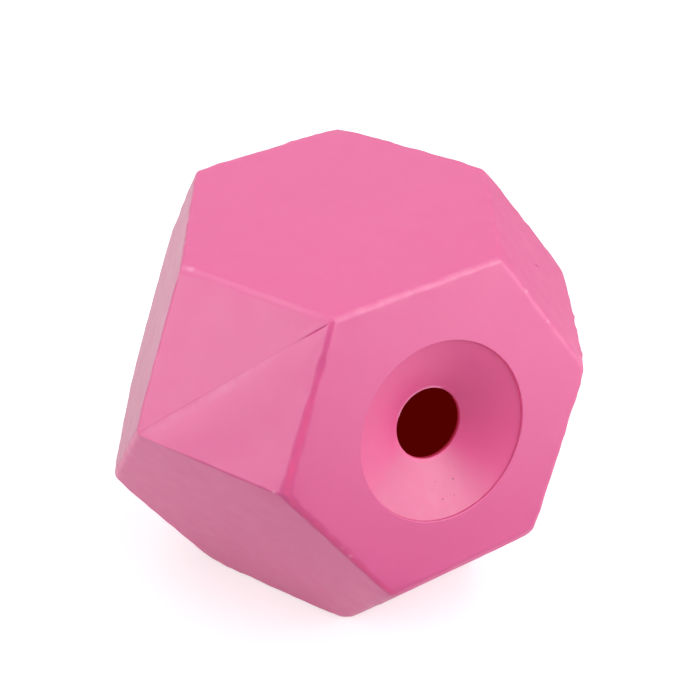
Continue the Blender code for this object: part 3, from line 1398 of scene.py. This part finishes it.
def build_scuffs(name: str) -> NodeTree:
    """Pale scuffs: short smears gathered in patches, where the zone allows them.

    Args:
        name: Name of the group.

    Returns:
        The node group.
    """
    wiring, given, exit_node = new_group(name, "Vector Zone Color Tint Amount", "Color Mask")
    stretch = {"Vector": given["Vector"], "Scale": SMEAR_STRETCH, "Rotation": SMEAR_TURN}
    drawn_out = wiring.add("Mapping", stretch).outputs["Vector"]
    smears = wiring.ramp(wiring.noise(drawn_out, SMEAR_SIZE, detail=4.0), *SMEAR_SPREAD)
    patches = wiring.ramp(wiring.noise(given["Vector"], PATCH_SIZE, detail=2.0), *PATCH_SPREAD)
    here = wiring.math("MULTIPLY", wiring.math("MULTIPLY", smears, patches), given["Zone"])
    mask = wiring.math("MULTIPLY", here, given["Amount"])
    colour = wiring.mix(mask, given["Color"], given["Tint"])
    wiring.feed(exit_node, {"Color": colour, "Mask": mask})
    return wiring.tree


def build_specks(name: str) -> NodeTree:
    """Small dark specks of dirt in the plastic, where the zone allows them.

    Args:
        name: Name of the group.

    Returns:
        The node group.
    """
    wiring, given, exit_node = new_group(name, "Vector Zone Color Tint Spacing", "Color Mask")
    scale = wiring.math("DIVIDE", 1.0, given["Spacing"])
    cells = wiring.add("TexVoronoi", {"Vector": given["Vector"], "Scale": scale, "Randomness": 1.0})
    chance = wiring.add("SeparateColor", {"Color": cells.outputs["Color"]})
    size = wiring.ramp(chance.outputs["Red"], SPECK_START, 1.0, end=SPECK_RADIUS)
    inside = wiring.math("LESS_THAN", cells.outputs["Distance"], size)
    chosen = wiring.math("LESS_THAN", chance.outputs["Green"], given["Zone"])
    mask = wiring.math("MULTIPLY", inside, chosen)
    colour = wiring.mix(mask, given["Color"], given["Tint"])
    wiring.feed(exit_node, {"Color": colour, "Mask": mask})
    return wiring.tree


EFFECT_BUILDERS = {
    Effect.PIGMENT_MOTTLE: build_pigment_mottle,
    Effect.MOULDED_GRAIN: build_moulded_grain,
    Effect.RUBBED_EDGES: build_worn_and_painted_tints,
    Effect.SCUFFS: build_scuffs,
    Effect.SPECKS: build_specks,
}


@dataclass(frozen=True)
class PlasticFinish:
    """Satin moulded plastic, pink outside, with a painted dark red shade and a faint painted glow where
    light only reaches it through the wall.
    """

    name: str
    pink: Colour = (0.705, 0.094, 0.280, 1.0)
    # pale wear on the edges, which also serves as a painted highlight where they catch the light
    rubbed: Colour = (0.77, 0.18, 0.36, 1.0)
    # painted highlight on the strip beside the seam
    painted_seam_highlight: Colour = (0.73, 0.16, 0.345, 1.0)
    # painted glint on nubs of flash, and a painted highlight along the funnel's burr
    nub: Colour = (0.80, 0.27, 0.45, 1.0)
    # painted light: a brighter red on the edges beside the funnel, for light soaking through them
    painted_red_light: Colour = (0.86, 0.098, 0.278, 1.0)
    # dull grey-pink: dustiness on the face, with a painted sheen and shade
    dust_and_sheen: Colour = (0.425, 0.14, 0.222, 1.0)
    scuffed: Colour = (0.62, 0.33, 0.42, 1.0)
    speck: Colour = (0.20, 0.015, 0.045, 1.0)
    # painted shade of the chamber's walls, where only light through the wall reaches
    chamber_painted_shade: Colour = (0.4, 0.008, 0.004, 1.0)
    chamber_painted_glow: Colour = (0.045, 0.0006, 0.0002, 1.0)  # painted glow for daylight that soaks through the wall
    # painted glow at cut edges, for light that soaks through the plastic
    painted_edge_glow: Colour = (0.26, 0.005, 0.025, 1.0)
    specular: float = 0.7
    mottle: float = 0.06
    cloud_size: float = 0.045
    fleck_size: float = 0.005
    grain_size: float = 0.0011
    ripple_size: float = 0.012
    gloss: tuple[float, float] = (0.35, 0.42)
    bump_height: float = 0.00022
    bump_strength: float = 0.24
    rub_and_highlight_amount: float = 0.9
    painted_red_light_amount: float = 0.9
    seam_highlight_amount: float = 0.7
    nub_glint_amount: float = 0.8
    dust_and_sheen_amount: float = 0.62
    least_tint: float = 0.4  # left of each edge tint where it breaks off
    least_dust_and_sheen: float = 0.8
    scuff_amount: float = 0.16
    speck_spacing: float = 0.0026

    def material(self) -> Material:
        """Builds the material.

        Returns:
            The new material.
        """
        material = bpy.data.materials.new(self.name)
        material.use_nodes = True
        wiring = Wiring(material.node_tree)
        where = wiring.add("TexCoord").outputs["Object"]
        band, inside, glow, seam_highlit, nub, scuff_and_sheen_zone, speck_zone = (
            wiring.add("Attribute", attribute_name=name).outputs["Fac"]
            for name in (BAND, INSIDE, GLOW, SEAM_HIGHLIGHT, NUB_GLINT, SCUFF_AND_SHEEN_ZONE, SPECK_ZONE)
        )
        colour = wiring.effect(
            Effect.PIGMENT_MOTTLE,
            Vector=where,
            Color=self.pink,
            Clouds=self.cloud_size,
            Flecks=self.fleck_size,
            Strength=self.mottle,
        )["Color"]
        # tints laid in turn: pale wear with a painted highlight, painted red light, the seam's painted
        # highlight, dustiness with painted sheen, and painted glints on nubs
        for zone, tint, amount, least in (
            (band, self.rubbed, self.rub_and_highlight_amount, self.least_tint),
            (wiring.math("MULTIPLY", band, -1.0), self.painted_red_light, self.painted_red_light_amount, self.least_tint),
            (seam_highlit, self.painted_seam_highlight, self.seam_highlight_amount, self.least_tint),
            (scuff_and_sheen_zone, self.dust_and_sheen, self.dust_and_sheen_amount, self.least_dust_and_sheen),
            (nub, self.nub, self.nub_glint_amount, self.least_tint),
        ):
            layer = {"Band": zone, "Color": colour, "Tint": tint, "Amount": amount, "Least": least}
            colour = wiring.effect(Effect.RUBBED_EDGES, Vector=where, **layer)["Color"]
        scuffs = {"Zone": scuff_and_sheen_zone, "Color": colour, "Tint": self.scuffed, "Amount": self.scuff_amount}
        colour = wiring.effect(Effect.SCUFFS, Vector=where, **scuffs)["Color"]
        specks = {"Zone": speck_zone, "Color": colour, "Tint": self.speck, "Spacing": self.speck_spacing}
        colour = wiring.effect(Effect.SPECKS, Vector=where, **specks)["Color"]
        grain = wiring.effect(
            Effect.MOULDED_GRAIN,
            Vector=where,
            Grain=self.grain_size,
            Ripples=self.ripple_size,
            Low=self.gloss[0],
            High=self.gloss[1],
        )
        relief = {"Height": grain["Height"], "Distance": self.bump_height, "Strength": self.bump_strength}
        painted_inside_glow = wiring.mix(inside, BLACK, self.chamber_painted_glow)
        finish = {
            "Base Color": wiring.mix(inside, colour, self.chamber_painted_shade),
            "Roughness": grain["Roughness"],
            "Specular IOR Level": self.specular,
            "Normal": wiring.add("Bump", relief).outputs["Normal"],
            "Emission Color": wiring.mix(glow, painted_inside_glow, self.painted_edge_glow),
            "Emission Strength": 1.0,
        }
        wiring.feed(material.node_tree.nodes["Principled BSDF"], finish)
        return material


def towards(azimuth: float, elevation: float) -> Vector:
    """The way to a point round the ball; azimuth 0 is in front of it and 90 to its right, in degrees."""
    turn, rise = math.radians(azimuth), math.radians(elevation)
    return Vector((math.sin(turn) * math.cos(rise), -math.cos(turn) * math.cos(rise), math.sin(rise)))


def matt_material(name: str, colour: Colour) -> Material:
    """A matt material of one colour, for the stage.

    Args:
        name: Name of the material.
        colour: Its colour.

    Returns:
        The new material.
    """
    material = bpy.data.materials.new(name)
    material.use_nodes = True
    matt = {"Base Color": colour, "Roughness": 1.0, "Specular IOR Level": 0.0}
    Wiring(material.node_tree).feed(material.node_tree.nodes["Principled BSDF"], matt)
    return material


def seen_directly(wiring: Wiring, in_gloss: float) -> Socket:
    """A socket that is 1 for what the camera sees straight or through glass, and in_gloss in a gloss.

    Args:
        wiring: Wiring of the material or of the world.
        in_gloss: Value for what shows in a gloss.

    Returns:
        The socket.
    """
    rays = wiring.add("LightPath").outputs
    gloss = wiring.math("MULTIPLY", rays["Is Glossy Ray"], in_gloss)
    straight = wiring.math("MAXIMUM", rays["Is Camera Ray"], rays["Is Transmission Ray"])
    return wiring.math("MAXIMUM", straight, gloss)


@dataclass(frozen=True)
class Softbox:
    """A soft lamp that looks at the ball."""

    name: str
    azimuth: float
    elevation: float
    power: float
    width: float = 1.2
    height: float = 1.2
    distance: float = 1.6
    in_gloss: bool = True  # whether the ball's gloss shows it

    def place(self, target: Vector) -> None:
        """Hangs the lamp.

        Args:
            target: The point that the lamp looks at.
        """
        away = towards(self.azimuth, self.elevation)
        lamp = bpy.data.lights.new(self.name, "AREA")
        lamp.shape = "RECTANGLE"
        lamp.size = self.width
        lamp.size_y = self.height
        lamp.energy = self.power
        obj = add_object(self.name, lamp)
        obj.location = target + away * self.distance
        obj.rotation_mode = "QUATERNION"
        obj.rotation_quaternion = away.to_track_quat("Z", "Y")
        obj.visible_glossy = self.in_gloss


@dataclass(frozen=True)
class GlossCard:
    """A card that lies beside the ball and curves up, so that this side of the ball has less pale gloss."""

    name: str
    azimuth: float
    width: float
    near: float  # from under the ball's centre to the card's near end
    bend_start: float
    bend_radius: float
    height: float
    grey: float = 0.02
    bend_rows: int = 12
    lift: float = 0.002  # above the floor

    def place(self) -> None:
        """Makes the card, which only shows in gloss."""
        bend = arc((self.bend_start, self.bend_radius), self.bend_radius, 270, 360, self.bend_rows)
        run = [(self.near, 0), *bend, (self.bend_start + self.bend_radius, self.height)]
        bm = bmesh.new()
        points = [bm.verts.new((-self.width / 2, -out, up + self.lift)) for out, up in run]
        outline = [bm.edges.new(pair) for pair in zip(points, points[1:])]
        bmesh.ops.extrude_edge_only(bm, edges=outline)
        for vert in bm.verts:
            if vert not in points:
                vert.co.x = self.width / 2
        bm.transform(Matrix.Rotation(math.radians(self.azimuth), 4, "Z"))
        mesh = mesh_of(self.name, bm)
        mesh.materials.append(matt_material(self.name, (self.grey, self.grey, self.grey, 1.0)))
        card = add_object(self.name, mesh)
        card.visible_camera = False
        card.visible_diffuse = False
        card.visible_transmission = False
        card.visible_shadow = False
        card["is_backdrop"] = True


@dataclass
class Studio:
    """White floor, soft lamps on all sides, and cards in front and to the right."""

    ball: BallShape
    ambient: float = 0.05
    floor_size: float = 6.0
    floor_colour: Colour = (0.7, 0.7, 0.7, 1.0)
    floor_glow: tuple[float, float] = (0.55, 1.0)  # near the ball and far from it
    floor_gloss: float = 0.6  # share of the glow that the ball's gloss shows
    floor_fade: tuple[float, float] = (0.3, 1.2)  # distances between which the glow changes
    lamps: tuple[Softbox, ...] = (
        Softbox("left_softbox", -90, 15, 9.0),
        Softbox("upper_left_softbox", -95, 45, 6.4),
        Softbox("rear_left_softbox", -137, 62, 4.0, width=0.7, height=0.7),
        Softbox("rear_softbox", 165, 58, 3.0),
        Softbox("front_left_softbox", -38, 12, 1.4),
        Softbox("front_softbox", 40, 15, 14.0, width=1.6),
        Softbox("upper_front_softbox", 38, 52, 13.6, height=1.4),
        Softbox("right_softbox", 121, 42, 3.4, in_gloss=False),
        Softbox("back_softbox", 150, 12, 8.0, in_gloss=False),
    )
    cards: tuple[GlossCard, ...] = (
        GlossCard("front_card", -33, 1.0, near=0.16, bend_start=0.45, bend_radius=0.3, height=0.75),
        GlossCard(
            "right_card", 118, 0.9, near=0.4, bend_start=0.6, bend_radius=0.15, height=0.35, grey=0.56
        ),
    )

    def build(self) -> None:
        """Lays the floor, hangs the lamps and sets the world."""
        self.lay_floor()
        for card in self.cards:
            card.place()
        for lamp in self.lamps:
            lamp.place(Vector((0, 0, self.ball.hex_span / 2)))
        world = bpy.data.worlds.new("studio")
        bpy.context.scene.world = world
        world.use_nodes = True
        wiring = Wiring(world.node_tree)
        seen = {"Value": seen_directly(wiring, 1.0), "To Min": self.ambient, "To Max": 1.0}
        level = wiring.add("MapRange", seen).outputs["Result"]
        wiring.feed(world.node_tree.nodes["Background"], {"Color": WHITE, "Strength": level})

    def lay_floor(self) -> None:
        """Makes the floor, which is white to the camera and keeps the ball's shadow."""
        bm = bmesh.new()
        bmesh.ops.create_grid(bm, x_segments=1, y_segments=1, size=self.floor_size / 2)
        floor = add_object("floor", mesh_of("floor", bm))
        floor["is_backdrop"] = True
        material = matt_material("white_floor", self.floor_colour)
        wiring = Wiring(material.node_tree)
        where = wiring.add("TexCoord").outputs["Object"]
        distance = wiring.add("VectorMath", {0: where}, operation="LENGTH").outputs["Value"]
        glow = wiring.ramp(distance, *self.floor_fade, *self.floor_glow)
        shown = wiring.math("MULTIPLY", seen_directly(wiring, self.floor_gloss), glow)
        shader = material.node_tree.nodes["Principled BSDF"]
        wiring.feed(shader, {"Emission Color": WHITE, "Emission Strength": shown})
        floor.data.materials.append(material)


@dataclass
class PhotoCamera:
    """The camera at the photograph's viewing angle."""

    ball: BallShape
    azimuth: float = -30.09
    elevation: float = 39.33
    roll: float = -0.58
    distance: float = 0.7857
    lens: float = 64.93
    sensor: float = 36.0
    aim: tuple[float, float, float] = (0.0094, 0.0053, 0.0110)  # from the centre of the ball

    def build(self) -> None:
        """Makes the camera and looks through it."""
        away = towards(self.azimuth, self.elevation)
        target = Vector((0, 0, self.ball.hex_span / 2)) + Vector(self.aim)
        data = bpy.data.cameras.new("photo_camera")
        data.lens = self.lens
        data.sensor_width = self.sensor
        camera = add_object("photo_camera", data)
        camera.location = target + away * self.distance
        level = away.to_track_quat("Z", "Y").to_matrix()
        camera.rotation_euler = (level @ Matrix.Rotation(math.radians(self.roll), 3, "Z")).to_euler()
        bpy.context.scene.camera = camera


def main() -> None:
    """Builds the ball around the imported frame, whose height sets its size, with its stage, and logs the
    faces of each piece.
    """
    logging.basicConfig(level=logging.INFO, format="%(name)s: %(message)s")
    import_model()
    noise.seed_set(NOISE_SEED)
    cad_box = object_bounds()
    bpy.context.scene.view_settings.view_transform = "Standard"
    ball = BallShape(hex_span=cad_box[1].z - cad_box[0].z)
    funnel = FunnelShape()

    shell_finish = PlasticFinish("shell_plastic").material()
    funnel_finish = PlasticFinish("funnel_plastic", pink=(0.735, 0.092, 0.266, 1.0)).material()
    back = HalfShell(
        ball, "back_shell", "shell_plastic", Half.BACK, marks=BACK_MARKS, crease_depth=-0.25 * MM
    )
    front = HalfShell(
        ball,
        "front_shell",
        "shell_plastic",
        Half.FRONT,
        funnel=funnel,
        marks=FRONT_MARKS,
        lip_height=1.5 * MM,
        crease_depth=1.0 * MM,
    )
    cone = TreatFunnel(ball, "treat_funnel", "funnel_plastic", funnel)
    for piece, finish in ((back, shell_finish), (front, shell_finish), (cone, funnel_finish)):
        piece.build()
        piece.dress(finish)
        LOG.info("%s: %d faces", piece.name, len(piece.obj.data.polygons))

    Studio(ball).build()
    PhotoCamera(ball).build()


if __name__ == "__main__":
    main()
